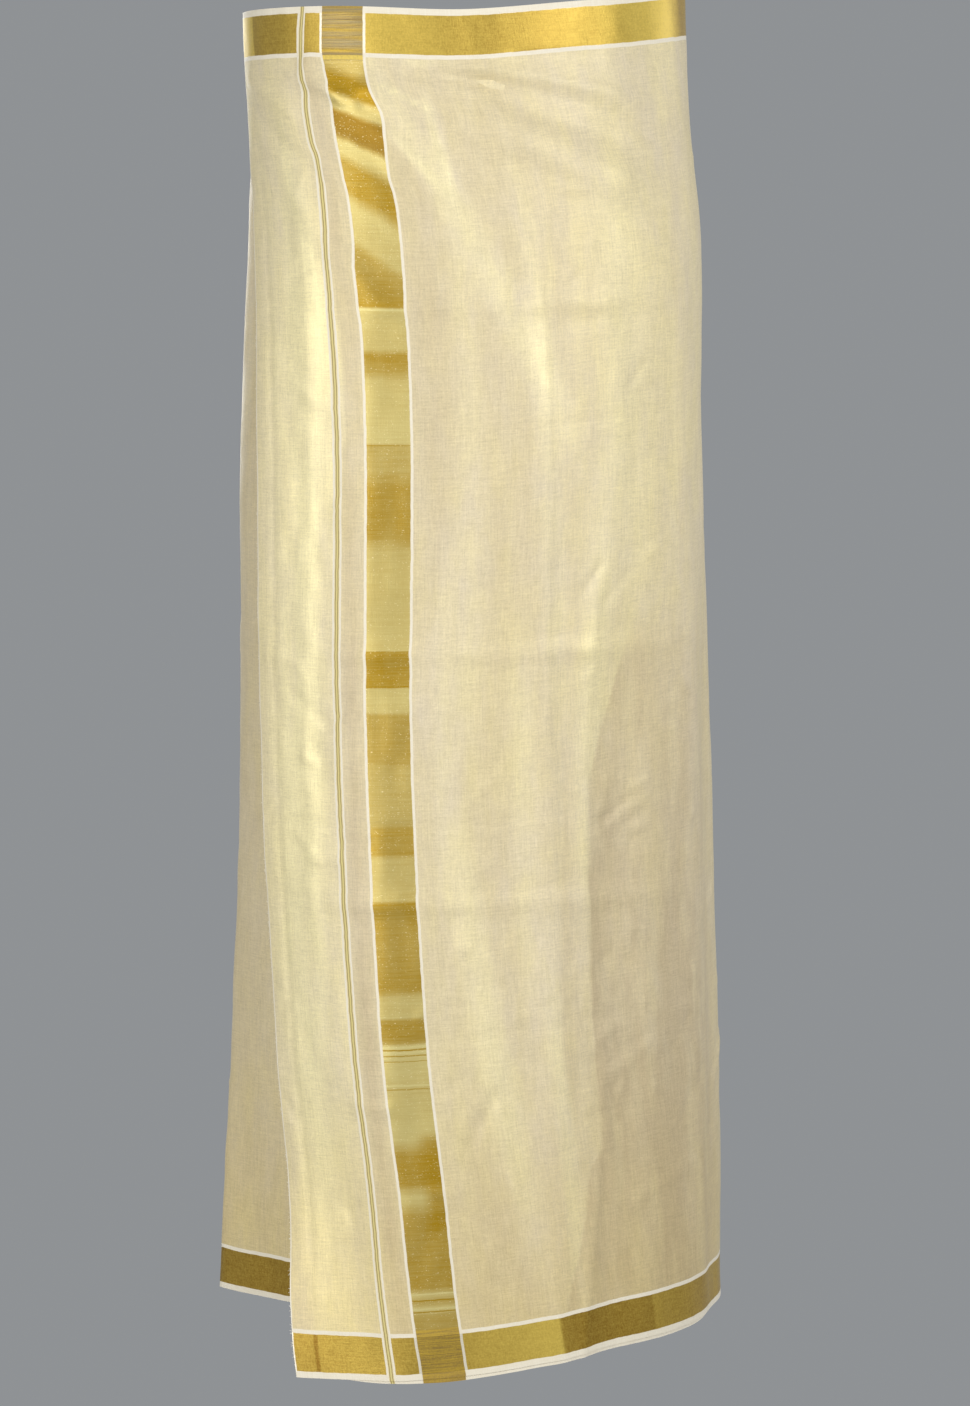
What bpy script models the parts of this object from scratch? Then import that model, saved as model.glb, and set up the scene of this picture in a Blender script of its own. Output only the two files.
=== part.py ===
"""A dhoti cloth in its worn form: one long double cloth wound round the waist, hanging to the ankles.

Metres, +Z up. The wearer's front faces -Y, and +X is the right of a viewer in front. The origin is the
middle of the waist, where the wearer holds the cloth, about 22 mm below its top edge at the front.

A turn is an angle round the body in degrees: 0 at the front, 90 at the viewer's right, 180 at the back,
270 at the viewer's left. The winding starts at the free edge, which leans from -86 at the waist to -44
at the hem, and goes on past 360 below itself.
A drop is a depth below the origin, so the top edge has a small negative one.
"""
import math
from collections import namedtuple

import bmesh
import bpy

# Driving sizes
CLOTH_LENGTH = 1.90
WALL = 0.0012
SEAM_GAP = 0.0003
LAYER_STEP = 0.0055
LAYER_FROM, LAYER_TO = 225, 285
RIGHT_SEAM, LEFT_SEAM = 92, 262
MEAN_RADIUS = 0.185
DISH_TURN, DISH_WIDTH = 13, 0.044

# Half widths and depths of the winding at each drop, from the axis, and how square its corners are.
# The last four columns are for the loose flap in front: its own half width and corner, the turn of its
# free edge, and how much it is flattened beside that edge.
Section = namedtuple(
    "Section", "drop left right front back under_bow flap_left flap_bow flap_turn flap_dish")
SECTIONS = (
    Section(-0.045, 0.184, 0.182, 0.126, 0.132, 2.30, 0.184, 2.5, -86.5, 0.000),
    Section(0.070, 0.184, 0.188, 0.133, 0.143, 2.20, 0.183, 2.6, -76.5, 0.002),
    Section(0.175, 0.188, 0.1975, 0.140, 0.153, 2.10, 0.183, 2.9, -68.5, 0.006),
    Section(0.320, 0.194, 0.198, 0.148, 0.160, 1.90, 0.190, 2.8, -63.5, 0.008),
    Section(0.570, 0.196, 0.2075, 0.157, 0.157, 1.60, 0.194, 2.6, -62.0, 0.008),
    Section(0.820, 0.205, 0.2175, 0.164, 0.154, 1.30, 0.191, 2.5, -57.5, 0.008),
    Section(0.970, 0.214, 0.2215, 0.168, 0.156, 1.12, 0.196, 2.2, -52.5, 0.007),
    Section(1.115, 0.222, 0.2230, 0.171, 0.160, 1.05, 0.260, 2.0, -44.5, 0.003),
)
RIGHT_BOW, BACK_BOW = 2.25, 2.30

# Drops of the top selvedge and of the hem round the winding
Edge = namedtuple("Edge", "turn top hem")
EDGES = (
    Edge(-90, -0.0225, 1.1090),
    Edge(-45, -0.0255, 1.1070),
    Edge(0, -0.0225, 1.0970),
    Edge(45, -0.0310, 1.0770),
    Edge(90, -0.0410, 1.0720),
    Edge(180, -0.0300, 1.0740),
    Edge(270, -0.0190, 1.0710),
    Edge(315, -0.0200, 1.0650),
    Edge(360, -0.0200, 1.0620),
    Edge(450, -0.0370, 1.0580),
    Edge(540, -0.0270, 1.0620),
    Edge(630, -0.0170, 1.0620),
)

# Soft folds, each a ridge or, with a negative rise, a trough along a line from one place to another.
# The layer below follows the broad ones, so that the layers nest.
Fold = namedtuple("Fold", "from_turn from_drop to_turn to_drop half_width rise")
FOLDS = (
    # Long pressed folds down the front
    Fold(19, 0.08, 28, 1.30, 0.015, 0.0030),
    Fold(44, 0.42, 40, 1.30, 0.026, -0.0045),
    Fold(-33, 0.16, -16, 1.30, 0.022, 0.0022),
    # Drag lines that run from the waist down to the viewer's right, then along the belly
    Fold(-54, 0.016, -32, 0.056, 0.009, 0.0032),
    Fold(-36, 0.032, -6, 0.094, 0.011, 0.0042),
    Fold(0, 0.032, 58, 0.086, 0.011, -0.0032),
    Fold(2, 0.060, 60, 0.118, 0.014, 0.0036),
    # Faint level folds left by ironing
    Fold(-52, 0.215, 60, 0.210, 0.008, 0.0016),
    Fold(-52, 0.496, 70, 0.492, 0.008, 0.0014),
    Fold(-52, 0.702, 70, 0.698, 0.008, 0.0014),
    # Right side and back
    Fold(62, 0.10, 66, 0.68, 0.022, 0.0035),
    Fold(78, 0.42, 74, 1.30, 0.020, -0.0035),
    Fold(104, 0.22, 112, 1.30, 0.024, 0.0060),
    Fold(128, 0.52, 131, 1.30, 0.022, -0.0050),
    Fold(152, 0.15, 150, 1.30, 0.026, 0.0065),
    Fold(178, 0.45, 176, 1.30, 0.024, -0.0055),
    Fold(205, 0.20, 199, 1.30, 0.026, 0.0060),
    Fold(232, 0.38, 226, 1.30, 0.022, -0.0050),
    Fold(120, 0.020, 172, 0.085, 0.013, 0.0040),
    Fold(238, 0.025, 190, 0.105, 0.013, 0.0040),
)
FOLD_FADE = 0.18
NESTED_WIDTH = 0.018

# Columns and rows of each stretch's net, and its finish
Stretch = namedtuple("Stretch", "name columns rows colour roughness metallic")
FRONT = Stretch("front_flap", 50, 30, (0.74, 0.66, 0.50), 0.42, 0.35)
BACK = Stretch("back_stretch", 38, 24, (0.72, 0.64, 0.50), 0.45, 0.30)
UNDER = Stretch("under_stretch", 52, 18, (0.62, 0.55, 0.43), 0.50, 0.25)

# Turn from one measured point of the winding to the next, in degrees
FINE_STEP = 1.0


def clear_scene():
    for thing in list(bpy.data.objects):
        bpy.data.objects.remove(thing, do_unlink=True)


def ease(way):
    """Smooth step from 0 to 1."""
    way = min(max(way, 0.0), 1.0)
    return way * way * (3 - 2 * way)


def read_table(rows, at, column):
    """Smooth value of a table's column, at a place along the table's first column."""
    places = [row[0] for row in rows]
    values = [getattr(row, column) for row in rows]
    last = len(rows) - 1
    at = min(max(at, places[0]), places[-1])
    low = max(i for i in range(last) if places[i] <= at)

    def slope(i):
        before, after = max(i - 1, 0), min(i + 1, last)
        return (values[after] - values[before]) / (places[after] - places[before])

    step = places[low + 1] - places[low]
    t = (at - places[low]) / step
    ends = ease(t)
    start_pull = t * (1 - t) ** 2 * step * slope(low)
    end_pull = -t * t * (1 - t) * step * slope(low + 1)
    return values[low] * (1 - ends) + values[low + 1] * ends + start_pull + end_pull


def plan_radius(turn, drop):
    """Distance from the axis of the smooth winding, before folds: a rounded rectangle's polar form."""
    sine, cosine = math.sin(math.radians(turn)), math.cos(math.radians(turn))
    if turn < 0:
        half, bow = read_table(SECTIONS, drop, "flap_left"), read_table(SECTIONS, drop, "flap_bow")
    elif sine >= 0:
        half, bow = read_table(SECTIONS, drop, "right"), RIGHT_BOW if cosine > 0 else BACK_BOW
    else:
        half = read_table(SECTIONS, drop, "left")
        bow = read_table(SECTIONS, drop, "under_bow") if cosine > 0 else BACK_BOW
    deep = read_table(SECTIONS, drop, "front" if cosine > 0 else "back")
    radius = (abs(sine / half) ** bow + abs(cosine / deep) ** bow) ** (-1 / bow)
    if turn < 0:
        aside = math.radians(turn - read_table(SECTIONS, drop, "flap_turn") - DISH_TURN) * MEAN_RADIUS
        radius -= read_table(SECTIONS, drop, "flap_dish") * math.exp(-(aside / DISH_WIDTH) ** 2)
    return radius


def fold_rise(turn, drop):
    """How far the folds push the cloth out from the smooth winding."""
    below = turn > LAYER_TO
    turn = (turn + 90) % 360 - 90
    total = 0.0
    for fold in FOLDS:
        if below and fold.half_width < NESTED_WIDTH:
            continue
        along_u = math.radians(fold.to_turn - fold.from_turn) * MEAN_RADIUS
        along_v = fold.to_drop - fold.from_drop
        u = math.radians(turn - fold.from_turn) * MEAN_RADIUS
        v = drop - fold.from_drop
        length = math.hypot(along_u, along_v)
        way = (u * along_u + v * along_v) / length ** 2
        aside = (u * along_v - v * along_u) / length
        fade = ease(way / FOLD_FADE) * ease((1 - way) / FOLD_FADE)
        total += fold.rise * fade * math.exp(-(aside / fold.half_width) ** 2)
    return total


def cloth_point(turn, share):
    """A point of the winding, by its turn and its share of the way from the top edge to the hem."""
    top, hem = read_table(EDGES, turn, "top"), read_table(EDGES, turn, "hem")
    drop = top + (hem - top) * share
    radius = plan_radius(turn, drop) + fold_rise(turn, drop)
    radius -= LAYER_STEP * ease((turn - LAYER_FROM) / (LAYER_TO - LAYER_FROM))
    angle = math.radians(turn)
    return radius * math.sin(angle), -radius * math.cos(angle), -drop


def level_line(share):
    """Turns along the winding at one share, with the cloth's length from the free edge to each."""
    drop = EDGES[0].top + (EDGES[0].hem - EDGES[0].top) * share
    turn = read_table(SECTIONS, drop, "flap_turn")
    turns, lengths = [turn], [0.0]
    before = cloth_point(turn, share)
    while lengths[-1] < CLOTH_LENGTH:
        turn += FINE_STEP
        now = cloth_point(turn, share)
        lengths.append(lengths[-1] + math.hypot(now[0] - before[0], now[1] - before[1]))
        turns.append(turn)
        before = now
    return turns, lengths


def between(at, places, values):
    """Straight-line value at a place in a rising list."""
    for i in range(1, len(places)):
        if places[i] >= at or i == len(places) - 1:
            t = (at - places[i - 1]) / (places[i] - places[i - 1])
            return values[i - 1] + (values[i] - values[i - 1]) * t


def cloth_net(stretch, first_turn, last_turn):
    """Rows of points, evenly spaced from the first turn to the last, or from and to the cloth's ends."""
    rows = []
    for row in range(stretch.rows):
        share = row / (stretch.rows - 1)
        turns, lengths = level_line(share)
        start = 0.0 if first_turn is None else between(first_turn, turns, lengths) + SEAM_GAP / 2
        end = CLOTH_LENGTH if last_turn is None else between(last_turn, turns, lengths) - SEAM_GAP / 2
        points = []
        for column in range(stretch.columns):
            length = start + (end - start) * column / (stretch.columns - 1)
            points.append(cloth_point(between(length, lengths, turns), share))
        rows.append(points)
    return rows


def plain_material(stretch):
    material = bpy.data.materials.new(stretch.name + "_tissue")
    material.use_nodes = True
    shader = material.node_tree.nodes["Principled BSDF"]
    shader.inputs["Base Color"].default_value = (*stretch.colour, 1)
    shader.inputs["Roughness"].default_value = stretch.roughness
    shader.inputs["Metallic"].default_value = stretch.metallic
    return material


def build_stretch(stretch, first_turn=None, last_turn=None):
    """One stretch of the winding: a net of quads facing out, with its wall laid inwards."""
    net = bmesh.new()
    rows = [[net.verts.new(point) for point in row] for row in cloth_net(stretch, first_turn, last_turn)]
    for upper, lower in zip(rows, rows[1:]):
        for i in range(len(upper) - 1):
            net.faces.new((upper[i], lower[i], lower[i + 1], upper[i + 1]))
    mesh = bpy.data.meshes.new(stretch.name)
    net.to_mesh(mesh)
    net.free()
    mesh.shade_smooth()
    mesh.materials.append(plain_material(stretch))
    piece = bpy.data.objects.new(stretch.name, mesh)
    bpy.context.scene.collection.objects.link(piece)
    wall = piece.modifiers.new("Wall", "SOLIDIFY")
    wall.thickness = WALL
    wall.offset = -1
    wall.use_even_offset = True
    return piece


clear_scene()
build_stretch(FRONT, last_turn=RIGHT_SEAM)
build_stretch(BACK, first_turn=RIGHT_SEAM, last_turn=LEFT_SEAM)
build_stretch(UNDER, first_turn=LEFT_SEAM)
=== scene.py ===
"""Looks of a worn dhoti cloth: a double tissue weave with gold borders, wound round the waist.

Metres, +Z up. The wearer's front faces -Y, and +X is the right of a viewer in front.

A turn is an angle round the body in degrees: 0 at the front, 90 at the viewer's right, 180 at the back.
A drop is a depth below the origin. A place on the flat cloth is (along, down): along is the length from the
free edge, and down is the length from the top selvedge. Both are kept in each piece's UV map, in metres. The
tables of places on the flat cloth are written in millimetres, and table() turns them into metres.
"""

import math
from collections import namedtuple

import bpy
import numpy as np
from bpy.props import FloatProperty, FloatVectorProperty, PointerProperty
from bpy.types import Operator, Panel, PropertyGroup
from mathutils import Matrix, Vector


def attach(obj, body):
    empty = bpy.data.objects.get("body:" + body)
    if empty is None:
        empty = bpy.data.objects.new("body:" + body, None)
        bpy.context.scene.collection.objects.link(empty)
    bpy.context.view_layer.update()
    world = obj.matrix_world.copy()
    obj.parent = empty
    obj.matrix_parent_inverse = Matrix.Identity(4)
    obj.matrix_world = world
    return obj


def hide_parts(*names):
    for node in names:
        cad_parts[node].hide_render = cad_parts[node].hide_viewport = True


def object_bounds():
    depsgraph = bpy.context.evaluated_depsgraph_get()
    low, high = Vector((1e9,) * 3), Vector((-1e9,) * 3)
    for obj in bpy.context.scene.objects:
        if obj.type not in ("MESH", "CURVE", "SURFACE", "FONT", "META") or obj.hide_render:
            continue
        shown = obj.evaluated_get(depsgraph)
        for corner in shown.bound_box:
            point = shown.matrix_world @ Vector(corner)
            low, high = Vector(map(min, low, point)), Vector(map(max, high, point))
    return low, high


bl_info = {
    "name": "Worn dhoti cloth",
    "version": (1, 0, 0),
    "blender": (4, 5, 0),
    "location": "3D View > Sidebar > Dhoti",
    "description": "Winds a gold-bordered tissue cloth in its worn form",
    "category": "Object",
}

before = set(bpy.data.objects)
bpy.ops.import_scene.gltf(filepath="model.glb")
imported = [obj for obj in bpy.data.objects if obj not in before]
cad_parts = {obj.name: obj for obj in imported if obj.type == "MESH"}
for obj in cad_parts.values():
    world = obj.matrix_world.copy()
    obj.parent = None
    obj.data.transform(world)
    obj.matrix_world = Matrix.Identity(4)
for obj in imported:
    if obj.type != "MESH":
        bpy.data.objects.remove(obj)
CAD_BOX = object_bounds()


def metres(value):
    """A number of millimetres, or a nest of them, in metres."""
    return tuple(metres(part) for part in value) if isinstance(value, tuple) else round(value / 1000, 7)


def table(kind, lengths, *rows):
    """Rows of one kind. Their first columns, as many as lengths says, are written in millimetres."""
    return tuple(kind(*metres(row[:lengths]), *row[lengths:]) for row in rows)


# The winding's form
RIGHT_SEAM, LEFT_SEAM = 92, 262
LAYER_STEP = 0.0055
LAYER_FROM, LAYER_TO = 225, 285
MEAN_RADIUS = 0.185
DISH_TURN, DISH_WIDTH = 13, 0.044
RIGHT_BOW, BACK_BOW = 2.25, 2.30
FOLD_FADE = 0.18
NESTED_WIDTH = 0.018
MOST_DEGREES = 760
NOISE_CELLS = 64

# Places before the cloth's start and past its end
BEFORE, BEYOND = -1.0, 2.0

# Half widths and depths of the winding at each drop, and how square its corners are. The last four columns
# are for the loose flap in front: its own half width and corner, its free edge's turn, and how much it is
# flattened beside that edge.
Section = namedtuple(
    "Section", "drop left right front back under_bow flap_left flap_bow flap_turn flap_dish")
SECTIONS = table(Section, 0,
    (-0.045, 0.184, 0.182, 0.126, 0.132, 2.30, 0.184, 2.5, -86.5, 0.000),
    (0.070, 0.184, 0.188, 0.133, 0.143, 2.20, 0.183, 2.6, -76.5, 0.002),
    (0.175, 0.188, 0.1975, 0.140, 0.153, 2.10, 0.183, 2.9, -68.5, 0.006),
    (0.320, 0.194, 0.198, 0.148, 0.160, 1.90, 0.190, 2.8, -63.5, 0.008),
    (0.570, 0.196, 0.2075, 0.157, 0.157, 1.60, 0.194, 2.6, -62.0, 0.008),
    (0.820, 0.205, 0.2175, 0.164, 0.154, 1.30, 0.191, 2.5, -57.5, 0.008),
    (0.970, 0.214, 0.2215, 0.168, 0.156, 1.12, 0.196, 2.2, -52.5, 0.007),
    (1.115, 0.222, 0.2230, 0.171, 0.160, 1.05, 0.260, 2.0, -44.5, 0.003),
)

# Drops of the top selvedge and of the hem round the winding
Edge = namedtuple("Edge", "turn top hem")
EDGES = table(Edge, 0,
    (-90, -0.0225, 1.109), (-45, -0.0255, 1.107), (0, -0.0225, 1.097), (45, -0.031, 1.077),
    (90, -0.041, 1.072), (180, -0.030, 1.074), (270, -0.019, 1.071), (315, -0.020, 1.065),
    (360, -0.020, 1.062), (450, -0.037, 1.058), (540, -0.027, 1.062), (630, -0.017, 1.062),
)

# Broad folds, each a ridge or a trough along a line from one turn and drop to another
Fold = namedtuple("Fold", "from_turn from_drop to_turn to_drop half_width rise")
FOLDS = table(Fold, 0,
    (19, 0.08, 28, 1.30, 0.015, 0.0030),
    (44, 0.42, 40, 1.30, 0.026, -0.0045),
    (-33, 0.16, -16, 1.30, 0.022, 0.0022),
    (-54, 0.016, -32, 0.056, 0.009, 0.0032),
    (-36, 0.032, -6, 0.094, 0.011, 0.0030),
    (0, 0.032, 58, 0.086, 0.011, -0.0032),
    (2, 0.060, 60, 0.118, 0.014, 0.0036),
    (-52, 0.215, 60, 0.210, 0.008, 0.0016),
    (-52, 0.496, 70, 0.492, 0.008, 0.0014),
    (-52, 0.702, 70, 0.698, 0.008, 0.0014),
    (62, 0.10, 66, 0.68, 0.022, 0.0035),
    (78, 0.42, 74, 1.30, 0.020, -0.0035),
    (104, 0.22, 112, 1.30, 0.024, 0.0060),
    (128, 0.52, 131, 1.30, 0.022, -0.0050),
    (152, 0.15, 150, 1.30, 0.026, 0.0065),
    (178, 0.45, 176, 1.30, 0.024, -0.0055),
    (205, 0.20, 199, 1.30, 0.026, 0.0060),
    (232, 0.38, 226, 1.30, 0.022, -0.0050),
    (120, 0.020, 172, 0.085, 0.013, 0.0040),
    (238, 0.025, 190, 0.105, 0.013, 0.0040),
)

# Finer creases by their places on the flat cloth. Sharp is 0 for a soft roll and 1 for a pressed edge.
Crease = namedtuple("Crease", "from_along from_down to_along to_down half_width rise sharp")
FRONT_CREASES = table(Crease, 6,
    # Long pressed lines beside the free edge and down the front
    (21, 0, 19, 1300, 4.5, -1, 0.8), (302, 460, 282, 1100, 20, 2.6, 1), (290, 880, 215, 1340, 18, 3, 1),
    (256, 60, 260, 800, 6, 0.9, 0.8), (303, 500, 272, 1120, 10, -1.4, 0.5),
    (60, 100, 54, 850, 11, 1.1, 0.2), (186, 620, 214, 1100, 12, 1.3, 0.2),
    (385, 550, 392, 1200, 14, 1.4, 0.1), (338, 200, 330, 780, 12, -0.9, 0.1),
    (226, 220, 232, 520, 9, -0.9, 0.2),
    # Drag lines from the waist at the viewer's left
    (4, 48, 82, 92, 6, 1.4, 0.1), (14, 78, 112, 158, 8, -1.3, 0), (70, 50, 128, 78, 5.5, 1.9, 0.2),
    (90, 46, 172, 98, 6, -1, 0.1), (118, 82, 208, 142, 7, 1, 0.1), (126, 118, 214, 206, 8, -0.9, 0),
    (150, 58, 252, 112, 7, -1.3, 0), (40, 130, 150, 262, 11, 1.3, 0),
    # Swags across the front under the top border
    (166, 49, 262, 62, 5, -1.8, 0.2), (206, 52, 300, 73, 6, -2.2, 0.2),
    (280, 68, 390, 120, 7.5, -2.7, 0.1), (258, 41, 345, 49, 5, -1.4, 0.3),
    (212, 41, 400, 94, 6, 2.1, 0.1), (190, 84, 352, 166, 11, 1.8, 0), (292, 120, 430, 150, 11, -1.1, 0),
    (190, 170, 300, 280, 14, -0.9, 0), (152, 62, 192, 81, 4, 1.3, 0.4),
    (184, 73, 197, 112, 4, 1.2, 0.4), (195, 96, 194, 156, 4.5, 1.1, 0.3),
    (156, 98, 192, 148, 4.5, 1.1, 0.3),
    # Level lines left by ironing
    (-50, 241, 360, 237, 2.6, -0.8, 1), (100, 347, 600, 342, 2.4, -0.5, 1),
    (-50, 523, 480, 519, 2.6, -0.5, 1), (20, 553, 300, 551, 2.2, 0.5, 1),
    (-50, 668, 560, 672, 2.4, -0.6, 1), (-50, 732, 330, 728, 2.6, -0.8, 1),
    (80, 851, 560, 846, 2.4, -0.6, 1),
    # Small rumples where the right thigh moves
    (304, 695, 350, 666, 4.5, 1.4, 0.5), (300, 688, 345, 656, 3.6, -1.1, 0.4),
    (312, 676, 356, 648, 3.6, 1.1, 0.4), (352, 448, 392, 508, 5, 1, 0.4),
    (372, 420, 398, 470, 4, -0.9, 0.3), (366, 560, 418, 600, 6, 0.9, 0.2),
    (286, 908, 350, 874, 5, 1.1, 0.4), (203, 890, 169, 952, 5.5, -1.6, 0.3),
    (300, 1020, 380, 992, 6, 0.9, 0.2), (30, 560, 80, 585, 5, -0.7, 0.2),
    (36, 300, 90, 330, 6, 0.8, 0.2),
)
BACK_CREASES = table(Crease, 6,
    # Drag lines from both hips to the small of the back
    (500, 52, 640, 100, 8, 1.8, 0.1), (520, 80, 650, 150, 10, -1.6, 0.1),
    (560, 120, 700, 190, 11, 1.4, 0), (760, 105, 900, 56, 8, 1.7, 0.1),
    (740, 160, 910, 85, 10, -1.6, 0.1), (700, 205, 860, 140, 12, 1.3, 0),
    # Long falls
    (560, 300, 574, 1300, 10, 1.8, 0.3), (612, 520, 604, 1300, 9, -1.5, 0.3),
    (672, 220, 686, 1020, 12, 1.4, 0.1), (742, 460, 738, 1300, 9, 1.6, 0.5),
    (800, 340, 816, 1300, 11, -1.5, 0.2), (868, 280, 860, 1120, 12, 1.5, 0.2),
    # Level lines left by ironing
    (480, 238, 820, 241, 2.6, -0.7, 1), (560, 344, 1000, 340, 2.4, -0.5, 1),
    (480, 520, 900, 524, 2.6, -0.8, 1), (480, 672, 980, 668, 2.4, -0.6, 1),
    (600, 729, 1060, 732, 2.6, -0.7, 1), (480, 847, 840, 850, 2.4, -0.6, 1),
    # Small rumples behind the knees
    (585, 640, 640, 612, 5, 1.2, 0.3), (600, 672, 662, 650, 5, -1.1, 0.3),
    (770, 610, 828, 642, 5, 1.1, 0.3), (760, 560, 815, 582, 6, -1, 0.2),
    (540, 820, 600, 848, 6, 0.9, 0.2), (830, 900, 890, 872, 6, -1, 0.2),
)
UNDER_CREASES = table(Crease, 6,
    (990, 50, 1110, 120, 9, 1.4, 0.1), (990, 110, 1100, 190, 11, -1.2, 0),
    (1030, 340, 1042, 1300, 10, 1.3, 0.3), (1072, 600, 1064, 1300, 8, -1.1, 0.4),
    (960, 519, 1300, 523, 2.6, -0.6, 1), (960, 731, 1400, 728, 2.6, -0.6, 1),
    (1240, 300, 1252, 1200, 12, 1.2, 0.2), (1460, 260, 1446, 1240, 14, 1.2, 0.2),
    (1640, 340, 1655, 1260, 12, -1.2, 0.2), (1800, 220, 1790, 1100, 12, 1.2, 0.2),
)

# How far a crease wavers to each side of its line, as a share of its half width. The wave runs through the
# step, in radians, along the crease and starts further on by the shift for each metre down. Then how steeply
# a pressed edge falls away.
CREASE_WAVER, WAVER_STEP, WAVER_SHIFT = 0.25, 5.1, 40
SHARP_FALL = 1.6

# Uneven rumpling over the whole cloth: how far apart the bumps are along and down, and how high they are
Rumple = namedtuple("Rumple", "along down height seed")
RUMPLES = table(Rumple, 3,
    (75, 210, 1.3, 5),
    (30, 85, 0.8, 6),
    (12, 26, 0.36, 7),
)

# Patches of small crushed creases, scattered by a seeded draw. Below them are the creases' lengths, half
# widths and heights, their leans in radians with the share that stands steep, and how sharp they are.
Crush = namedtuple("Crush", "low_along high_along low_down high_down count seed")
CRUSHES = table(Crush, 4,
    (270, 470, 460, 1060, 64, 41), (298, 350, 640, 705, 16, 47), (278, 345, 860, 925, 16, 48),
    (150, 270, 620, 1080, 20, 42), (10, 100, 100, 1060, 18, 43), (160, 460, 60, 340, 16, 44),
    (500, 980, 400, 1060, 60, 45), (980, 1100, 300, 1040, 12, 46),
)
CRUSH_LENGTHS = (0.014, 0.048)
CRUSH_WIDTHS = (0.0028, 0.0055)
CRUSH_RISES = (0.0004, 0.0012)
CRUSH_LEANS, STEEP_SHARE = (-1.0, 1.0), 0.30
CRUSH_SHARPS = (0.1, 0.7)

# Painted highlights: bright places where the metal threads lie flat and catch the light. Those with a gain
# below 0 are painted shade.
Gleam = namedtuple("Gleam", "along down half_width half_length lean gain")
GLEAMS = table(Gleam, 5,
    (55, 450, 12, 300, 0, 0.75), (74, 230, 10, 130, 20, 0.45), (36, 780, 16, 220, 0, 0.5),
    (100, 340, 7, 220, 0, 0.3), (258, 360, 10, 220, 10, 0.28), (212, 200, 14, 150, 60, 0.55),
    (190, 360, 18, 260, 0, 0.4),
    # Painted highlights on ridges that sweep down from the stripe
    (174, 71.5, 4, 10, 18, 0.6), (193, 112, 4.5, 40, 2, 0.6), (174, 124, 5, 24, 16, 0.5),
    (190, 43, 16, 4, 0, 0.45),
    # Painted highlights on ridges further down the front, then round the back and on the layer below
    (200, 860, 13, 190, 20, 0.6), (252, 1000, 7, 200, 0, 0.6),
    (238, 680, 14, 170, 0, 0.35), (384, 1040, 8, 130, 0, 0.35), (298, 560, 12, 220, -20, 0.35),
    (330, 300, 18, 170, 0, 0.28), (172, 600, 7, 140, 0, 0.25), (352, 840, 9, 160, 0, 0.25),
    (560, 520, 14, 340, 10, 0.55), (672, 460, 16, 300, 10, 0.6), (742, 860, 10, 260, 0, 0.5),
    (868, 500, 14, 300, -10, 0.5), (1030, 700, 10, 320, 10, 0.3),
    # The pressed panel beside the free edge has an even painted highlight
    (42, 560, 46, 460, 0, 0.38),
    # Painted shade on stretches where the threads face away from the light
    (98, 560, 11, 660, 0, -0.75), (172, 260, 26, 200, 0, -0.34), (215, 500, 85, 560, 0, -0.3),
    (370, 1000, 85, 340, -20, -0.6), (400, 700, 60, 260, -20, -0.2), (190, 1100, 50, 140, 0, -0.25),
    (1060, 600, 110, 700, 0, -0.45), (620, 1000, 60, 300, 0, -0.4), (810, 800, 50, 360, 0, -0.35),
)

# How uneven the painted highlights and shade are: rumples whose height is a share of the painted gleam
GLEAM_GRAINS = (Rumple(0.008, 0.060, 0.30, 11), Rumple(0.004, 0.018, 0.20, 12))

# Pressed folds on the flat cloth, each a line through (along, down) places from the top one to the lowest.
# Beyond the line the painted sheen changes by the gain, which fades over the reach: painted shade below 0
# and a painted highlight above it, where the fold's far face turns from the light or to it.
Facet = namedtuple("Facet", "reach places gain")
FACETS = table(Facet, 2,
    (60, ((342, 505), (325, 548), (293, 644), (286, 800), (283, 940), (281, 966),
          (269, 978), (260, 1026), (234.5, 1104), (229, 1140)), -0.60),
    (10, ((272, 600), (269.5, 660), (257.6, 856), (256, 900)), -0.35),
    (50, ((352, 760), (350, 812), (336, 952), (330, 1140)), -0.40),
    (60, ((408, 60), (375, 212), (385, 500), (378, 700)), -0.14),
    (18, ((21, 40), (19, 1140)), 0.25),
    (50, ((674, 200), (686, 1020)), -0.50),
    (50, ((860, 300), (866, 1140)), 0.40),
    (40, ((560, 360), (572, 1140)), -0.40),
)

# Width of a pressed fold's edge, and length over which it fades in and out
FACET_EDGE, FACET_FADE = 0.002, 0.060

# How far the drag folds at the waist draw the woven lines aside: the thin pair and the stripe's two edges
Drag = namedtuple("Drag", "down pair left right")
DRAGS = table(Drag, 4,
    (0, 20, 12, 11.2), (19, 13.3, 7, 6.5), (38, 8.3, 2.5, 2.1), (47, 6.6, 3.3, 1.2), (58, 6, 3, 0.9),
    (70, 4.8, 2.2, 2), (80, 2.6, 1, 4.5), (92, 2, -0.4, 5.4), (110, 2.5, -0.8, 3.4),
    (121, 5, -0.6, 1.6), (137, 4.2, -0.4, 0.1), (154, 4.2, 0.4, 1.9), (174, 3.4, 0, 1.7),
    (196, 1.5, -1, 0.8), (210, 0.6, -2, 0.4), (260, 0, 0, 0),
)
DRAG_END = 0.30
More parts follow.
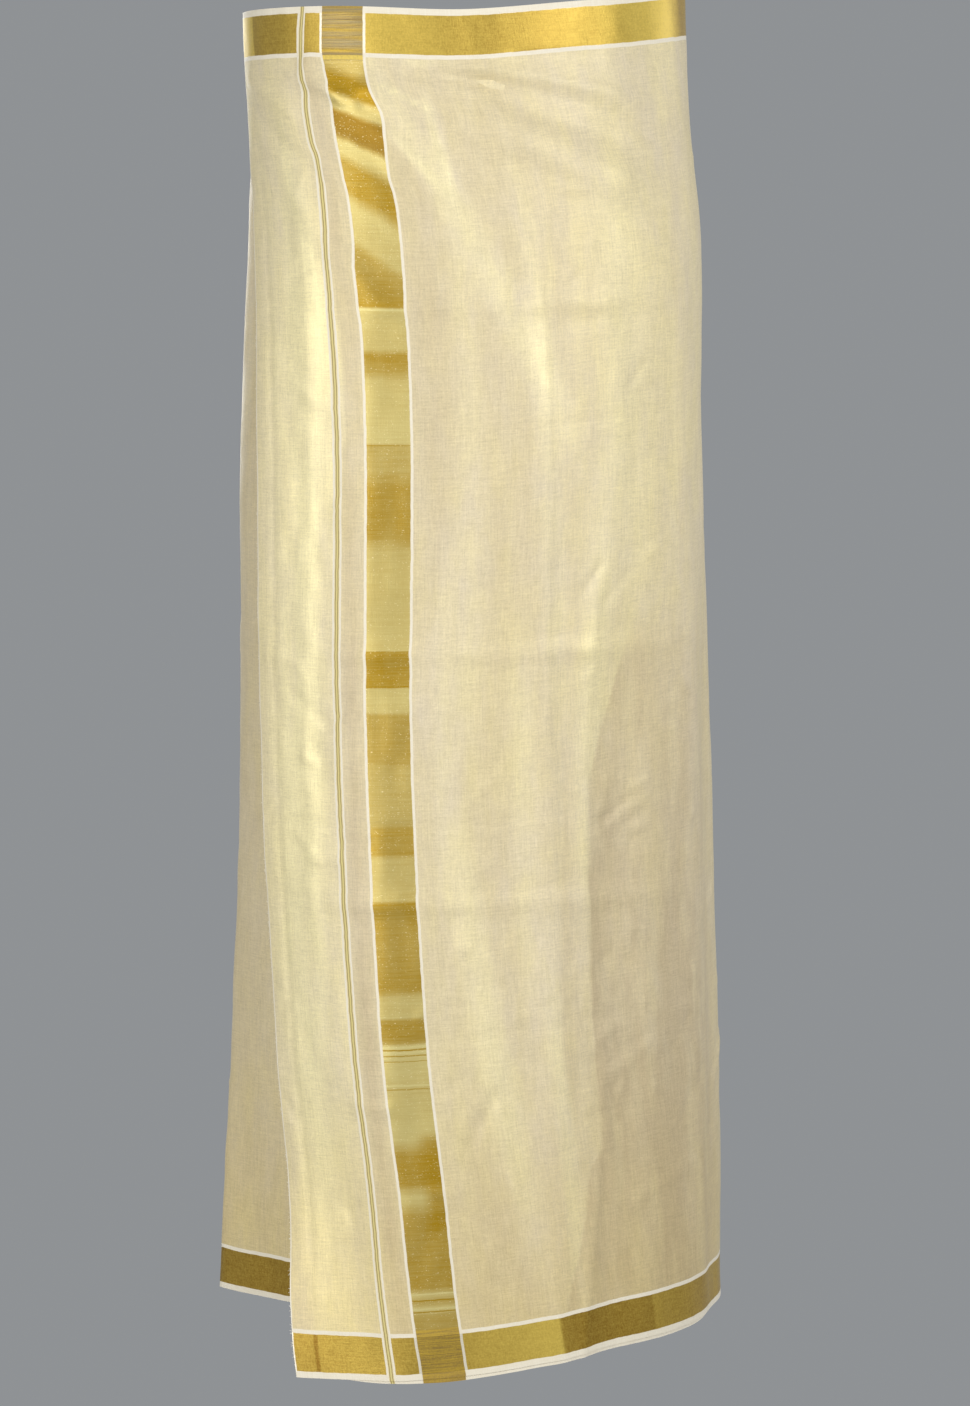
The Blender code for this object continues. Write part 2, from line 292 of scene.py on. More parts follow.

# Tones of the gold borders by the length from the free edge, from 0 for dark to 1 for bright. The tones are
# painted light and shade: where each border's metal threads turn from the light or catch it
BorderTone = namedtuple("BorderTone", "place top bottom")
NEAR_BORDER_TONES = table(BorderTone, 1,
    (0, 1, 0.36), (18, 1, 0.36), (19.2, 1, 0.04), (21.6, 1, 0.06), (22.8, 1, 0.34), (30.4, 0.95, 0.38),
    (31, 0.36, 0.38), (60, 0.4, 0.44), (108, 0.48, 0.46), (149, 0.72, 0.56), (190, 0.68, 0.72),
    (228.5, 0.48, 0.86), (230.5, 0.48, 0.26), (250, 0.42, 0.18), (290, 0.42, 0.24), (315.5, 0.46, 0.22),
    (317, 0.46, 0.46), (340, 0.5, 0.34), (380, 0.86, 0.28), (420, 1, 0.4), (450, 0.36, 0.34),
)
FAR_BORDER_TONES = table(BorderTone, 1,
    (450, 0.36, 0.34), (490, 0.42, 0.2), (560, 0.6, 0.55), (640, 0.44, 0.3), (720, 0.62, 0.56),
    (800, 0.4, 0.28), (880, 0.56, 0.48), (960, 0.34, 0.12), (1100, 0.22, 0.2),
)

# Tones of the woven stripe by the length down from the top, from 0 for a dark stretch to 1 for a pale one.
# The tones are painted light and shade: bands where the metal threads tilt from the light or towards it
Tone = namedtuple("Tone", "place tone")
UPPER_TONES = table(Tone, 1,
    (0, 0.5), (49, 0.5), (54.5, 0.26), (59, 0), (71, 0), (76.5, 0.72), (86.5, 0.74), (91.5, 0),
    (104.5, 0), (110, 0.22), (115.5, 0.78), (125, 0.74), (134, 0.14), (158, 0.12), (170, 0.76),
    (198, 0.72), (207, 0.3), (222, 0.22), (241.5, 0.1), (243, 0.98), (245, 0.72), (276, 0.66),
    (280, 0.1), (294, 0.3), (302, 0.68), (352, 0.82), (353.5, 0.44), (374, 0.44), (388, 0.14),
    (428, 0.2), (440, 0.62), (522.5, 0.68),
)
LOWER_TONES = table(Tone, 1,
    (522.5, 0.1), (551.8, 0.12), (552.5, 0.72), (573, 0.7), (574.5, 0.26), (612, 0.26), (621, 0.5),
    (667, 0.48), (668.5, 0.18), (692, 0.2), (694.5, 0.6), (730, 0.64), (732.2, 0.12), (770, 0.26),
    (806, 0.14), (812, 0.68), (829, 0.74), (831.5, 0.16), (850, 0.2), (853, 0.92), (890, 0.72),
    (932, 0.84), (946, 0.14), (970, 0.12), (982, 0.84), (1000, 0.2), (1060, 0.18), (1067.5, 0.78),
    (1073, 0.3), (1079, 0.86), (1085, 0.34), (1140, 0.2),
)

# Single thread rows across the stripe that show pale or dark, and how far each is up or down in tone
ThreadRow = namedtuple("ThreadRow", "place half_width change")
THREAD_ROWS = table(ThreadRow, 2,
    (243.6, 0.6, 0.5), (353.4, 0.6, -0.35), (552.1, 0.6, -0.4), (853.8, 0.8, 0.7), (856.2, 0.6, -0.85),
    (858.4, 0.7, 0.5), (861.2, 0.5, -0.8), (866, 0.4, -0.6), (886.6, 0.7, 0.8), (889.8, 0.5, -0.5),
    (1066, 0.6, 0.8), (1071.6, 0.5, -0.5), (1079, 0.7, 0.9), (1081.6, 0.5, -0.6),
)

# Where the stripe has painted shade on its far half only, and where the painted shade of a fold's hollow
# darkens it, by the length down
SHADED_HALF, STRIPE_HOLLOW = (0.930, 1.012), (0.0885, 0.1120)

# The stripe's stretches end aslant near the waist: how steeply, from where and over what length they grow
# steeper, and where that ends
SLANT, MORE_SLANT = 0.30, 0.45
SLANT_FROM, SLANT_REACH = 0.05, 0.15
SLANT_END, SLANT_FADE = 0.21, 0.03

# Lengths over which the edges of woven parts blend: of most parts, of the thin double line's threads, of
# single rows, and of the painted shade on the stripe's far half and in its hollow
SOFT, PAIR_SOFT, ROW_SOFT = 0.0005, 0.0003, 0.0004
HALF_SOFT, HOLLOW_SOFT = 0.010, 0.006

# Where the stripe's crossings with the borders end, and the gold rows in the top one. Then the width of the
# white line on the free edge.
CROSSING_END, CROSSING_GOLD = 0.0432, (0.0392, 0.0428)
END_LINE = 0.0011

# Shares of the thin double line's width that its inner threads fill
PAIR_CREAM, PAIR_BROWN, PAIR_CORE = 0.56, 0.36, 0.21

# Where the painted shade towards the hem starts, darker and warmer, and over what length it comes in
LOW_LIGHT_FROM, LOW_LIGHT_FADE = 0.88, 0.20

# How far the threads wander from their straight lines
WANDER = 0.0011

# Columns and rows of each piece's net, the size that its stretch was cut to, and the seams it lies between.
# Without a seam it starts at the free edge or goes on to the cloth's end.
Stretch = namedtuple("Stretch", "name node slot columns rows flat first_seam last_seam")
FRONT = Stretch(
    "front_flap_cloth", "front_flap", "front_tissue", 172, 272, (0.50, 1.14), None, RIGHT_SEAM)
BACK = Stretch(
    "back_stretch_cloth", "back_stretch", "back_tissue", 150, 272, (0.49, 1.14), RIGHT_SEAM, LEFT_SEAM)
UNDER = Stretch(
    "under_stretch_cloth", "under_stretch", "under_tissue", 170, 272, (0.92, 1.14), LEFT_SEAM, None)
SMOOTH_ANGLE = math.radians(50)

# The strip of second ply: its net, where it lies down and along the cloth, how far in from the outer ply it
# hangs, the shares of its length over which its drop comes in and goes out, how uneven the drop is, and its
# share of the double wall
PLY_ROWS, PLY_COLUMNS = 9, 150
PLY_SHARES, PLY_PLACES = (0.966, 1.0), (0.034, 0.455)
PLY_INSET = 0.0016
PLY_FADE_IN, PLY_FADE_OUT = 0.10, 0.22
PLY_UNEVEN, PLY_WAVES, PLY_SEED = 0.30, 9, 21
PLY_WALL = 0.5

# The thread ends: how many, where down the edge, how deep they are rooted, how long and how bent they are.
# Each points away from a place that lies inside the edge by the aim, and bends at its knee.
THREAD_COUNT, THREAD_SEED = 300, 31
THREAD_SHARES = (0.004, 0.996)
THREAD_ROOT, THREAD_AIM = 0.0012, 0.004
THREAD_REACHES, THREAD_SAGS = (0.0008, 0.0026), (-0.5, 0.9)
THREAD_KNEE, THREAD_DROOP = 0.4, 0.4

# The camera, fitted to the photograph's view of the cloth
IMAGE_HEIGHT = 1406
FOCAL_PIXELS = 3893
CAMERA_PLACE = (0.0166, -3.29, -0.085)
CAMERA_TILT = math.radians(81.84)

# The stage's round floor with its turned-up rim, and how far the hem hangs above it
BOWL_RADIUS, BOWL_HEIGHT, BOWL_CORNER = 6.5, 4.2, 1.6
BOWL_SIDES, CORNER_STEPS = 96, 20
FLOOR_BELOW = 0.075

ROOM_TINT, ROOM_LIGHT = (0.92, 0.96, 1.0, 1), 0.30
Light = namedtuple("Light", "name place aim width height power tint")
LIGHTS = (
    Light("key", (-2.2, -2.7, -0.35), (0, 0, -0.65), 2.4, 2.2, 63, (1.0, 0.985, 0.955)),
    Light("fill", (1.5, -2.5, 0.5), (0, 0, -0.45), 1.4, 1.4, 46, (0.99, 0.99, 0.985)),
    Light("side", (2.4, 0.9, -0.35), (0.15, 0, -0.5), 1.2, 1.8, 13, (1.0, 0.985, 0.99)),
    Light("crown", (0.0, 0.9, 2.1), (0, 0, -0.3), 2.0, 1.2, 12, (1, 1, 1)),
    Light("back", (-0.6, 2.4, 0.3), (0, 0, -0.5), 1.6, 1.8, 40, (1, 1, 1)),
)


def measure(name, description, default):
    """A length property, in metres."""
    return FloatProperty(name=name, description=description, default=default, unit="LENGTH")


class DhotiSizes(PropertyGroup):
    """Sizes of the flat cloth and of its woven lines."""
    cloth_length: measure("Cloth length", "Length of the double cloth that is wound", 1.90)
    cloth_width: measure("Cloth width", "Woven width, which hangs from waist to ankle", 1.14)
    wall: measure("Wall", "Thickness of the double cloth", 0.0009)
    selvedge: measure("Selvedge", "White edge outside each gold border", 0.0052)
    border: measure("Gold border", "Width of the gold border at the waist and hem", 0.032)
    inner_line: measure("Inner line", "White line inside each gold border", 0.0034)
    stripe_from: measure("Stripe from", "Length from the free edge to the gold stripe", 0.108)
    stripe_to: measure("Stripe to", "Length from the free edge to the stripe's end", 0.148)
    stripe_line: measure("Stripe line", "White line on each side of the stripe", 0.0022)
    pair_middle: measure("Line pair", "Length from the free edge to the thin double line", 0.084)
    pair_width: measure("Line pair width", "Width of the thin double line", 0.0082)
    ply_drop: measure("Second ply", "How far the inner ply shows below the hem", 0.0036)
    thread: measure("Thread radius", "Radius of the loose thread ends", 0.00016)


def colour(name, description, red, green, blue):
    """A colour property, from the usual screen values of 0 to 255."""
    linear = [((c / 255 + 0.055) / 1.055) ** 2.4 if c > 10 else c / 3295 for c in (red, green, blue)]
    return FloatVectorProperty(
        name=name, description=description, default=linear, subtype="COLOR", size=3, min=0, max=1)


class DhotiColours(PropertyGroup):
    """Colours of the yarns, of the painted light and shade on them, and of the stage."""
    cotton: colour("Cotton", "Plain cotton between the metal threads", 224, 210, 181)
    tissue: colour("Tissue", "Cotton with gold threads showing", 229, 213, 161)
    # Painted shade of the tissue, where the gold threads face away from the light
    painted_shade: colour("Dull tissue", "Tissue where the gold threads face away", 196, 177, 142)
    # Painted highlight of the tissue, also used for the painted glints on the stripe
    painted_gleam: colour("Gleam", "Tissue where the gold threads shine", 255, 243, 190)
    # Painted shade towards the hem, darker and warmer
    low_light: colour("Low light", "Warmer tint that the cloth takes on towards the hem", 251, 247, 232)
    white: colour("White", "Bleached selvedge and lines", 248, 241, 223)
    # The stripe's gold in painted shade and in painted light. The pale one is also the thin double line's
    # core.
    zari_shade: colour("Dark zari", "Gold threads turned from the light", 174, 137, 18)
    zari_pale: colour("Pale zari", "Gold threads that catch the light", 219, 204, 136)
    # The borders' gold in painted light and in painted shade. The shaded one also paints the shade of a
    # fold's hollow in the stripe.
    border_gold: colour("Border gold", "Gold of the two borders where it shines", 230, 201, 95)
    border_shade: colour("Dark border", "Gold of the two borders where it is turned away", 141, 106, 24)
    crossing: colour("Crossing", "Gold rows where the stripe crosses a border", 192, 160, 62)
    ash: colour("Ash rows", "Matte rows where the stripe crosses the top border", 156, 144, 112)
    line_brown: colour("Line brown", "Thin dark threads of the double line", 146, 120, 66)
    floor: colour("Floor", "Pale floor", 186, 186, 186)


def ease(way):
    """Smooth step from 0 to 1."""
    way = np.clip(way, 0, 1)
    return way * way * (3 - 2 * way)


def read_table(rows, at, column):
    """Smooth values of a table's column, at places along the table's first column."""
    places = np.array([row[0] for row in rows], float)
    values = np.array([getattr(row, column) for row in rows], float)
    last = len(rows) - 1
    slopes = np.array([(values[min(i + 1, last)] - values[max(i - 1, 0)])
                       / (places[min(i + 1, last)] - places[max(i - 1, 0)]) for i in range(last + 1)])
    at = np.clip(at, places[0], places[-1])
    low = np.clip(np.searchsorted(places, at, side="right") - 1, 0, last - 1)
    step = places[low + 1] - places[low]
    t = (at - places[low]) / step
    ends = ease(t)
    pulls = t * (1 - t) ** 2 * slopes[low] - t * t * (1 - t) * slopes[low + 1]
    return values[low] * (1 - ends) + values[low + 1] * ends + step * pulls


def plan_radius(turn, drop):
    """Distance from the axis of the smooth winding, before folds."""
    sine, cosine = np.sin(np.radians(turn)), np.cos(np.radians(turn))
    flap, right, front = turn < 0, sine >= 0, cosine > 0
    half = np.where(right, read_table(SECTIONS, drop, "right"), read_table(SECTIONS, drop, "left"))
    half = np.where(flap, read_table(SECTIONS, drop, "flap_left"), half)
    bow = np.where(right, RIGHT_BOW, read_table(SECTIONS, drop, "under_bow"))
    bow = np.where(front, bow, BACK_BOW)
    bow = np.where(flap, read_table(SECTIONS, drop, "flap_bow"), bow)
    deep = np.where(front, read_table(SECTIONS, drop, "front"), read_table(SECTIONS, drop, "back"))
    radius = (np.abs(sine / half) ** bow + np.abs(cosine / deep) ** bow) ** (-1 / bow)
    aside = np.radians(turn - read_table(SECTIONS, drop, "flap_turn") - DISH_TURN) * MEAN_RADIUS
    dish = read_table(SECTIONS, drop, "flap_dish") * np.exp(-(aside / DISH_WIDTH) ** 2)
    return radius - np.where(flap, dish, 0)


def fold_rise(turn, drop):
    """How far the broad folds push the cloth out. A layer below follows only the wide ones."""
    below = turn > LAYER_TO
    turn = (turn + 90) % 360 - 90
    total = np.zeros_like(turn)
    for fold in FOLDS:
        along_u = math.radians(fold.to_turn - fold.from_turn) * MEAN_RADIUS
        along_v = fold.to_drop - fold.from_drop
        u = np.radians(turn - fold.from_turn) * MEAN_RADIUS
        v = drop - fold.from_drop
        length = math.hypot(along_u, along_v)
        way = (u * along_u + v * along_v) / length ** 2
        aside = (u * along_v - v * along_u) / length
        fade = ease(way / FOLD_FADE) * ease((1 - way) / FOLD_FADE)
        push = fold.rise * fade * np.exp(-(aside / fold.half_width) ** 2)
        if fold.half_width < NESTED_WIDTH:
            push = np.where(below, 0, push)
        total += push
    return total


def cloth_radius(turn, share):
    """Distance from the axis and drop of the winding, by turn and share of the way from top to hem."""
    top, hem = read_table(EDGES, turn, "top"), read_table(EDGES, turn, "hem")
    drop = top + (hem - top) * share
    radius = plan_radius(turn, drop) + fold_rise(turn, drop)
    radius = radius - LAYER_STEP * ease((turn - LAYER_FROM) / (LAYER_TO - LAYER_FROM))
    return radius, drop


def level_lines(shares, cloth_length):
    """For each share, turns along the winding with the cloth's length from the free edge to each."""
    drops = EDGES[0].top + (EDGES[0].hem - EDGES[0].top) * shares
    steps = np.arange(MOST_DEGREES)
    turns = read_table(SECTIONS, drops, "flap_turn")[:, None] + steps[None, :]
    radius, _ = cloth_radius(turns, np.repeat(shares[:, None], len(steps), 1))
    x, y = radius * np.sin(np.radians(turns)), -radius * np.cos(np.radians(turns))
    spans = np.hypot(np.diff(x), np.diff(y))
    lengths = np.concatenate([np.zeros((len(shares), 1)), np.cumsum(spans, 1)], 1)
    if lengths[:, -1].min() < cloth_length:
        raise ValueError("the winding has too few turns for the cloth's length")
    return turns, lengths


def value_noise(u, v, seed):
    """Smooth seeded noise from -1 to 1, with a new value at each whole number."""
    heights = np.random.default_rng(seed).uniform(-1, 1, (NOISE_CELLS, NOISE_CELLS))
    cell_u, cell_v = np.floor(u).astype(int), np.floor(v).astype(int)
    part_u, part_v = ease(u - cell_u), ease(v - cell_v)

    def corner(du, dv):
        return heights[(cell_u + du) % NOISE_CELLS, (cell_v + dv) % NOISE_CELLS]

    upper = corner(0, 0) * (1 - part_u) + corner(1, 0) * part_u
    lower = corner(0, 1) * (1 - part_u) + corner(1, 1) * part_u
    return upper * (1 - part_v) + lower * part_v


def crease_rise(along, down):
    """How far the creases push the cloth out, at places on the flat cloth."""
    total = np.zeros_like(along)
    for crease in EVERY_CREASE:
        span_u = crease.to_along - crease.from_along
        span_v = crease.to_down - crease.from_down
        length = math.hypot(span_u, span_v)
        u, v = along - crease.from_along, down - crease.from_down
        way = (u * span_u + v * span_v) / length ** 2
        aside = (u * span_v - v * span_u) / length
        waver = np.sin(way * WAVER_STEP + crease.from_down * WAVER_SHIFT)
        aside = aside + CREASE_WAVER * crease.half_width * waver
        fade = ease(way / FOLD_FADE) * ease((1 - way) / FOLD_FADE)
        reach = np.abs(aside / crease.half_width)
        shape = (1 - crease.sharp) * np.exp(-reach ** 2) + crease.sharp * np.exp(-SHARP_FALL * reach)
        total += crease.rise * fade * shape
    return total


def scatter_creases():
    """Small creases inside each crushed patch, at any lean."""
    found = []
    for crush in CRUSHES:
        draw = np.random.default_rng(crush.seed)
        for _ in range(crush.count):
            along = draw.uniform(crush.low_along, crush.high_along)
            down = draw.uniform(crush.low_down, crush.high_down)
            lean = draw.uniform(*CRUSH_LEANS) + (math.pi / 2 if draw.random() < STEEP_SHARE else 0)
            reach = draw.uniform(*CRUSH_LENGTHS) / 2
            rise = draw.uniform(*CRUSH_RISES) * draw.choice((-1, 1))
            step_along, step_down = reach * math.cos(lean), reach * math.sin(lean)
            ends = (along - step_along, down - step_down, along + step_along, down + step_down)
            half_width, sharp = draw.uniform(*CRUSH_WIDTHS), draw.uniform(*CRUSH_SHARPS)
            found.append(Crease(*ends, half_width, rise, sharp))
    return tuple(found)


EVERY_CREASE = FRONT_CREASES + BACK_CREASES + UNDER_CREASES + scatter_creases()


def rumple_rise(rumples, along, down):
    """Sum of the rumples' heights, at places on the flat cloth."""
    return sum(rumple.height * value_noise(along / rumple.along, down / rumple.down, rumple.seed)
               for rumple in rumples)


def gleam_strength(along, down):
    """Strength of the painted sheen: a painted highlight up to 1, and painted shade below 0 where the
    threads face away.
    """
    total = np.zeros_like(along)
    for painted_gleam in GLEAMS:
        v = (down - painted_gleam.down) / painted_gleam.half_length
        u = (along - painted_gleam.along - painted_gleam.lean * v) / painted_gleam.half_width
        total += painted_gleam.gain * np.exp(-u * u - v ** 4)
    for facet in FACETS:
        line_along, line_down = np.transpose(facet.places)
        aside = along - np.interp(down, line_down, line_along)
        starts = ease((down - line_down[0]) / FACET_FADE)
        ends = ease((line_down[-1] + FACET_FADE / 2 - down) / FACET_FADE)
        beyond = ease(aside / FACET_EDGE) * np.exp(-np.maximum(aside, 0) / facet.reach)
        total += facet.gain * starts * ends * beyond
    return np.clip(total * (1 + rumple_rise(GLEAM_GRAINS, along, down)), -1, 1)


def drawn_along(along, down, sizes):
    """Where each place lies in the weave, once the drag folds have drawn the woven lines aside."""
    found = np.empty_like(along)
    for row, level in enumerate(down[:, 0]):
        pair, left, right = (read_table(DRAGS, level, column) for column in ("pair", "left", "right"))
        lines = (sizes.pair_middle, sizes.stripe_from, sizes.stripe_to)
        drawn = [line + shift for line, shift in zip(lines, (pair, left, right))]
        worn, woven = (0, *drawn, DRAG_END, BEYOND), (0, *lines, DRAG_END, BEYOND)
        found[row] = np.interp(along[row], worn, woven)
    return found


def cloth_places(along, shares, sizes, lift=0.0):
    """Points of the worn cloth: along has a row for each share, and lift moves them out."""
    turns, lengths = level_lines(shares, sizes.cloth_length)
    turn = np.array([np.interp(row, length, line) for row, length, line in zip(along, lengths, turns)])
    share = np.repeat(shares[:, None], along.shape[1], 1)
    down = share * sizes.cloth_width
    radius, drop = cloth_radius(turn, share)
    radius = radius + crease_rise(along, down) + rumple_rise(RUMPLES, along, down) + lift
    angle = np.radians(turn)
    return np.stack([radius * np.sin(angle), -radius * np.cos(angle), -drop], -1)


def seam_lengths(shares, seam, sizes, without):
    """Length from the free edge to a seam's turn, at each share, or one length where there is no seam."""
    if seam is None:
        return np.full(len(shares), without)
    turns, lengths = level_lines(shares, sizes.cloth_length)
    return np.array([np.interp(seam, line, length) for line, length in zip(turns, lengths)])


def deselect():
    """Leaves edit mode, with nothing selected."""
    if bpy.context.object and bpy.context.object.mode != "OBJECT":
        bpy.ops.object.mode_set(mode="OBJECT")
    bpy.ops.object.select_all(action="DESELECT")


def net_piece(name, points, along, down, sizes, material):
    """A grid whose corners are moved to the points, with the flat cloth's places as its UV map."""
    rows, columns = along.shape
    deselect()
    bpy.ops.mesh.primitive_grid_add(
        x_subdivisions=columns - 1, y_subdivisions=rows - 1, size=1, location=(0, 0, 0))
    piece = bpy.context.object
    piece.name = piece.data.name = name
    mesh = piece.data
    flat = np.zeros(len(mesh.vertices) * 3, np.float32)
    mesh.vertices.foreach_get("co", flat)
    flat = flat.reshape(-1, 3)
    column = np.rint((flat[:, 0] + 0.5) * (columns - 1)).astype(int)
    row = rows - 1 - np.rint((flat[:, 1] + 0.5) * (rows - 1)).astype(int)
    mesh.vertices.foreach_set("co", points[row, column].astype(np.float32).ravel())
    corners = np.zeros(len(mesh.loops), np.int32)
    mesh.loops.foreach_get("vertex_index", corners)
    woven = drawn_along(along, down, sizes)
    places = np.stack([woven[row, column], down[row, column]], -1)[corners]
    mesh.uv_layers.active.name = "UVMap"
    mesh.uv_layers.active.data.foreach_set("uv", places.astype(np.float32).ravel())
    # Painted highlight and painted shade of the tissue, kept on each point
    painted_gleam = mesh.attributes.new("painted_gleam", "FLOAT", "POINT")
    painted_gleam.data.foreach_set("value", gleam_strength(along, down)[row, column].astype(np.float32))
    mesh.materials.append(material)
    mesh.update()
    return piece


def give_wall(piece, thickness):
    """Lays the wall inwards, so that the outer face keeps its form, and smooths all but the rims."""
    wall = piece.modifiers.new("Wall", "SOLIDIFY")
    wall.thickness = thickness
    wall.offset = -1
    wall.use_even_offset = True
    bpy.ops.object.modifier_apply(modifier=wall.name)
    bpy.ops.object.shade_smooth_by_angle(angle=SMOOTH_ANGLE)


def wind_stretch(stretch, sizes, colours):
    """One stretch of the winding, in its own material."""
    shares = np.linspace(0, 1, stretch.rows)
    start = seam_lengths(shares, stretch.first_seam, sizes, 0.0)
    end = seam_lengths(shares, stretch.last_seam, sizes, sizes.cloth_length)
    way = np.linspace(0, 1, stretch.columns)
    along = start[:, None] + (end - start)[:, None] * way[None, :]
    down = np.repeat(shares[:, None] * sizes.cloth_width, stretch.columns, 1)
    points = cloth_places(along, shares, sizes)
    material = tissue_material(stretch.slot, sizes, colours)
    piece = net_piece(stretch.name, points, along, down, sizes, material)
    give_wall(piece, sizes.wall)
    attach(piece, "root")
    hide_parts(stretch.node)
    return piece


class Wire:
    """A socket of a material's nodes. Arithmetic on it adds the Math nodes that work it out."""

    def __init__(self, tree, socket=None):
        self.tree = tree
        self.socket = socket

    def node(self, kind, settings=None, sockets=None, output=0):
        """Adds a node, sets it up and fills its sockets with values or links. Returns one of its outputs."""
        new = self.tree.nodes.new("ShaderNode" + kind)
        for name, value in (settings or {}).items():
            if name == "stops":
                set_stops(new.color_ramp, value)
            else:
                setattr(new, name, value)
        for key, value in (sockets or {}).items():
            if isinstance(value, Wire):
                self.tree.links.new(value.socket, new.inputs[key])
            else:
                new.inputs[key].default_value = value
        return Wire(self.tree, new.outputs[output])

    def math(self, operation, *values, clamp=False):
        """Adds a Math node for the values, each a number or a link."""
        return self.node("Math", {"operation": operation, "use_clamp": clamp}, dict(enumerate(values)))

    def __add__(self, other):
        return self.math("ADD", self, other)

    def __sub__(self, other):
        return self.math("SUBTRACT", self, other)

    def __rsub__(self, other):
        return self.math("SUBTRACT", other, self)

    def __mul__(self, other):
        return self.math("MULTIPLY", self, other)

    def __truediv__(self, other):
        return self.math("DIVIDE", self, other)

    __radd__ = __add__
    __rmul__ = __mul__


def set_stops(ramp, stops):
    """Fills a colour ramp with (place, tone) stops of grey."""
    for extra in list(ramp.elements)[1:]:
        ramp.elements.remove(extra)
    for index, (place, tone) in enumerate(stops):
        stop = ramp.elements[0] if index == 0 else ramp.elements.new(place)
        stop.position = place
        stop.color = (tone, tone, tone, 1)


def blend_colour(factor, first, second, mode="MIX"):
    """Mixes two colours, each a link or a triple. The factor or else the first colour is a link."""
    first, second = [c if isinstance(c, Wire) else (*c[:3], 1) for c in (first, second)]
    settings = {"data_type": "RGBA", "blend_type": mode}
    link = factor if isinstance(factor, Wire) else first
    return link.node("Mix", settings, {0: factor, 6: first, 7: second}, output=2)


def lane(place, low, high, soft=SOFT):
    """1 between two places and 0 outside, with soft ends."""
    rise = place.math("MULTIPLY_ADD", place, 1 / soft, 0.5 - low / soft, clamp=True)
    fall = place.math("MULTIPLY_ADD", place, -1 / soft, 0.5 + high / soft, clamp=True)
    return rise * fall


def lane_about(place, middle, half_width, soft=SOFT):
    """1 up to the half width on each side of a middle, and 0 beyond."""
    return lane(place, middle - half_width, middle + half_width, soft)


def tone_ramp(tones, column, place):
    """Tone at a place, read from a column of a table of tones with a ramp that spans the whole table."""
    low, high = tones[0].place, tones[-1].place
    stops = [((tone.place - low) / (high - low), getattr(tone, column)) for tone in tones]
    return place.node("ValToRGB", {"stops": stops}, {0: (place - low) / (high - low)})


def joined_ramps(first, second, column, place):
    """Tone at a place on either of two tables that meet, with a sharp change from one to the other."""
    is_second = place.math("GREATER_THAN", place, second[0].place)
    return tone_ramp(first, column, place) * (1 - is_second) + tone_ramp(second, column, place) * is_second


class Weave:
    """Places on the flat cloth and its uneven threads, as links that all parts of the weave share."""

    def __init__(self, tree, sizes):
        start = self.start = Wire(tree)
        uv = start.node("UVMap", {"uv_map": "UVMap"})
        self.flat_along = start.node("SeparateXYZ", None, {0: uv}, "X")
        self.flat_down = start.node("SeparateXYZ", None, {0: uv}, "Y")
        # Painted highlight and painted shade that each piece keeps on its points
        self.painted_gleam = start.node("Attribute", {"attribute_name": "painted_gleam"}, None, "Fac")

        # Threads wander a little, so that no woven line is ruled straight
        self.along = self.flat_along + self.noise(0.030, 0.009, 1.5) * WANDER
        self.down = self.flat_down + self.noise(0.009, 0.030, 2.5) * WANDER
        self.from_end = start.math("MINIMUM", self.along, sizes.cloth_length - self.along)
        self.from_edge = start.math("MINIMUM", self.down, sizes.cloth_width - self.down)
        self.at_hem = start.math("GREATER_THAN", self.flat_down, sizes.cloth_width / 2)

        # Slubs: thick threads along the cloth and down it, fine grain, and broad clouds
        self.weft = self.noise(0.010, 0.0008, 3.5)
        self.warp = self.noise(0.0008, 0.016, 4.5)
        self.grain = self.noise(0.0013, 0.0013, 5.5, 1.0)
        self.cloud = self.noise(0.045, 0.150, 6.5, 3.0)
        self.patch = self.noise(0.012, 0.035, 7.5)
        self.rough_rows = self.noise(0.040, 0.0009, 10.5, 1.0)

    def noise(self, step_along, step_down, seed, detail=2.0):
        """Noise about 0, stretched to one step along the cloth and another down it."""
        along, down = self.flat_along / step_along, self.flat_down / step_down
        place = self.start.node("CombineXYZ", None, {0: along, 1: down, 2: seed})
        sockets = {"Vector": place, "Scale": 1.0, "Detail": detail}
        return self.start.node("TexNoise", {"noise_dimensions": "3D"}, sockets) - 0.5


def tissue_ground(weave, colours):
    """Colour of the plain tissue with its painted highlights and painted shade, and how strongly it shines.
    """
    start, painted_gleam, cloud, patch = weave.start, weave.painted_gleam, weave.cloud, weave.patch
    mottle = start.math("ADD", cloud * 1.2 + patch * 0.8, 0.5, clamp=True)
    ground = blend_colour(mottle, colours.cotton, colours.tissue)
    # Painted highlight: the painted gleams and random patches of sheen turn the tissue towards the highlight
    # colour. The same share also makes it more metallic.
    shine = start.math("ADD", painted_gleam * 0.85, cloud * 0.75 + patch * 0.30 + 0.16, clamp=True)
    ground = blend_colour(shine * 0.75, ground, colours.painted_gleam)
    # Painted shade where the gleam strength is below 0, made uneven by the clouds
    painted_shade = start.math("MULTIPLY_ADD", painted_gleam, -1.0, cloud * 0.35, clamp=True)
    ground = blend_colour(painted_shade * 0.80, ground, colours.painted_shade)
    # Painted shade towards the hem, darker and warmer
    low_down = start.math("DIVIDE", weave.flat_down - LOW_LIGHT_FROM, LOW_LIGHT_FADE, clamp=True)
    ground = blend_colour(low_down, ground, colours.low_light, "MULTIPLY")
    thread = weave.weft * 0.30 + weave.warp * 0.32 + weave.grain * 0.26 + 1.0
    return blend_colour(1.0, ground, grey(thread), "MULTIPLY"), shine


